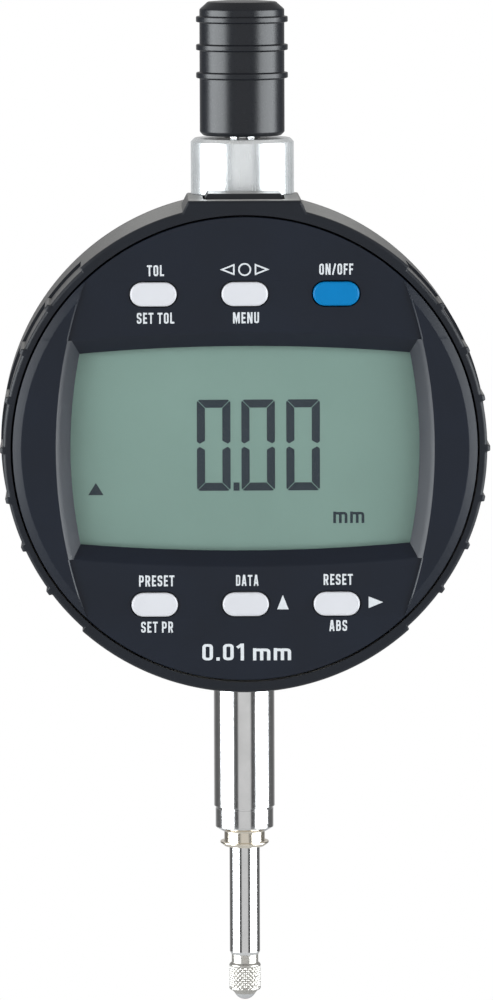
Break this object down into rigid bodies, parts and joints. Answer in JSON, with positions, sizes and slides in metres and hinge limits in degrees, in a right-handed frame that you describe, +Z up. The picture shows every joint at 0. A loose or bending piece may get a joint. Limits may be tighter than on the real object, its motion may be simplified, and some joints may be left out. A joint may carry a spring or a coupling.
{
  "type": "dial indicator",
  "caption": "Round digital dial indicator with a clamping shank, a spring-loaded measuring spindle, a lifting cap, a turning display head with keys and a battery door.",
  "frame": {"origin": "middle of the 8 mm clamping shank, on its axis", "axes": "+Z up along the spindle towards the lifting cap, -Y out of the display towards the reader, +X to the reader's right"},
  "size_m": [0.0636, 0.0255, 0.1323],
  "materials": {
    "case_plastic": "black glass-filled plastic, fine matt texture",
    "cover_plastic": "black plastic, fine matt texture",
    "bezel_plastic": "smooth satin black plastic",
    "cap_plastic": "smooth satin black plastic",
    "rubber": "black rubber",
    "zebra_rubber": "pink and black layered silicone",
    "felt": "brown felt",
    "bright_steel": "ground and polished hardened steel",
    "ball_steel": "polished hard-metal ball",
    "screw_steel": "plain bright steel",
    "battery_steel": "nickel plated can",
    "bush_brass": "turned brass",
    "contact_bronze": "spring bronze, plated",
    "frame_aluminium": "die-cast and milled aluminium",
    "circuit_board": "green solder resist",
    "chip_plastic": "black moulding compound",
    "ribbon": "amber polyimide film",
    "window_glass": "clear polished window",
    "lcd_glass": "grey-green reflective liquid crystal panel",
    "scale_glass": "glass strip with plated scale tracks",
    "reflector": "satin reflector film",
    "key_white": "white satin plastic",
    "key_blue": "blue satin plastic"
  },
  "bodies": {
    "case": {"front_case": "case_plastic", "rear_cover": "cover_plastic", "cover_gasket": "rubber", "cover_screws": "screw_steel", "collar_seat": "cover_plastic", "shank": "bright_steel", "shank_nose": "bright_steel", "lower_bush": "bush_brass", "guide_bush": "bush_brass", "collar": "bright_steel", "upper_bush": "bush_brass", "spindle_seal": "rubber", "main_frame": "frame_aluminium", "frame_screws": "screw_steel", "guide_rod": "bright_steel", "reader_board": "circuit_board", "reader_chip": "chip_plastic", "reader_screws": "screw_steel", "return_spring": "screw_steel", "spring_post": "screw_steel", "stop_pin": "screw_steel", "flex_cable": "ribbon", "battery_holder": "cover_plastic", "holder_screws": "screw_steel", "battery": "battery_steel", "contact_plus": "contact_bronze", "contact_minus": "contact_bronze", "data_socket": "chip_plastic"},
    "spindle": {"spindle": "bright_steel", "contact_body": "bright_steel", "contact_ball": "ball_steel", "lifting_cap": "cap_plastic", "cap_insert": "bush_brass", "scale_carrier": "frame_aluminium", "scale_strip": "scale_glass", "carrier_screws": "screw_steel", "bumper_ring": "rubber", "spring_pin": "screw_steel"},
    "display": {"display_bezel": "bezel_plastic", "window_lens": "window_glass", "lcd_panel": "lcd_glass", "lcd_reflector": "reflector", "zebra_strips": "zebra_rubber", "main_board": "circuit_board", "board_components": "chip_plastic", "key_domes": "screw_steel", "display_back": "cover_plastic", "display_screws": "screw_steel", "friction_ring": "felt", "retaining_ring": "frame_aluminium", "ring_screws": "screw_steel"},
    "key_tolerance": {"key_tolerance": "key_white"},
    "key_menu": {"key_menu": "key_white"},
    "key_power": {"key_power": "key_blue"},
    "key_preset": {"key_preset": "key_white"},
    "key_data": {"key_data": "key_white"},
    "key_reset": {"key_reset": "key_white"},
    "battery_door": {"battery_door": "cover_plastic", "door_seal": "rubber"},
    "data_cover": {"data_cover": "rubber"}
  },
  "joints": [
    {"name": "spindle_travel", "type": "slide", "parent": "case", "child": "spindle", "axis": [0, 0, 1], "range_m": [0, 0.0125], "stiffness_N_per_m": 40, "springref_m": -0.016, "deforming": ["return_spring"]},
    {"name": "display_turn", "type": "hinge", "parent": "case", "child": "display", "pos_m": [0, 0, 0.04025], "axis": [0, -1, 0], "range_deg": [-135, 135]},
    {"name": "key_tolerance_press", "type": "slide", "parent": "display", "child": "key_tolerance", "axis": [0, 1, 0], "range_m": [0, 0.0004], "stiffness_N_per_m": 1200, "springref_m": -0.0005},
    {"name": "key_menu_press", "type": "slide", "parent": "display", "child": "key_menu", "axis": [0, 1, 0], "range_m": [0, 0.0004], "stiffness_N_per_m": 1200, "springref_m": -0.0005},
    {"name": "key_power_press", "type": "slide", "parent": "display", "child": "key_power", "axis": [0, 1, 0], "range_m": [0, 0.0004], "stiffness_N_per_m": 1200, "springref_m": -0.0005},
    {"name": "key_preset_press", "type": "slide", "parent": "display", "child": "key_preset", "axis": [0, 1, 0], "range_m": [0, 0.0004], "stiffness_N_per_m": 1200, "springref_m": -0.0005},
    {"name": "key_data_press", "type": "slide", "parent": "display", "child": "key_data", "axis": [0, 1, 0], "range_m": [0, 0.0004], "stiffness_N_per_m": 1200, "springref_m": -0.0005},
    {"name": "key_reset_press", "type": "slide", "parent": "display", "child": "key_reset", "axis": [0, 1, 0], "range_m": [0, 0.0004], "stiffness_N_per_m": 1200, "springref_m": -0.0005},
    {"name": "battery_door_turn", "type": "hinge", "parent": "case", "child": "battery_door", "pos_m": [-0.017, 0.009, 0.04025], "axis": [0, 1, 0], "range_deg": [0, 45]},
    {"name": "data_cover_pull", "type": "slide", "parent": "case", "child": "data_cover", "axis": [1, 0, 0], "range_m": [0, 0.006]}
  ]
}
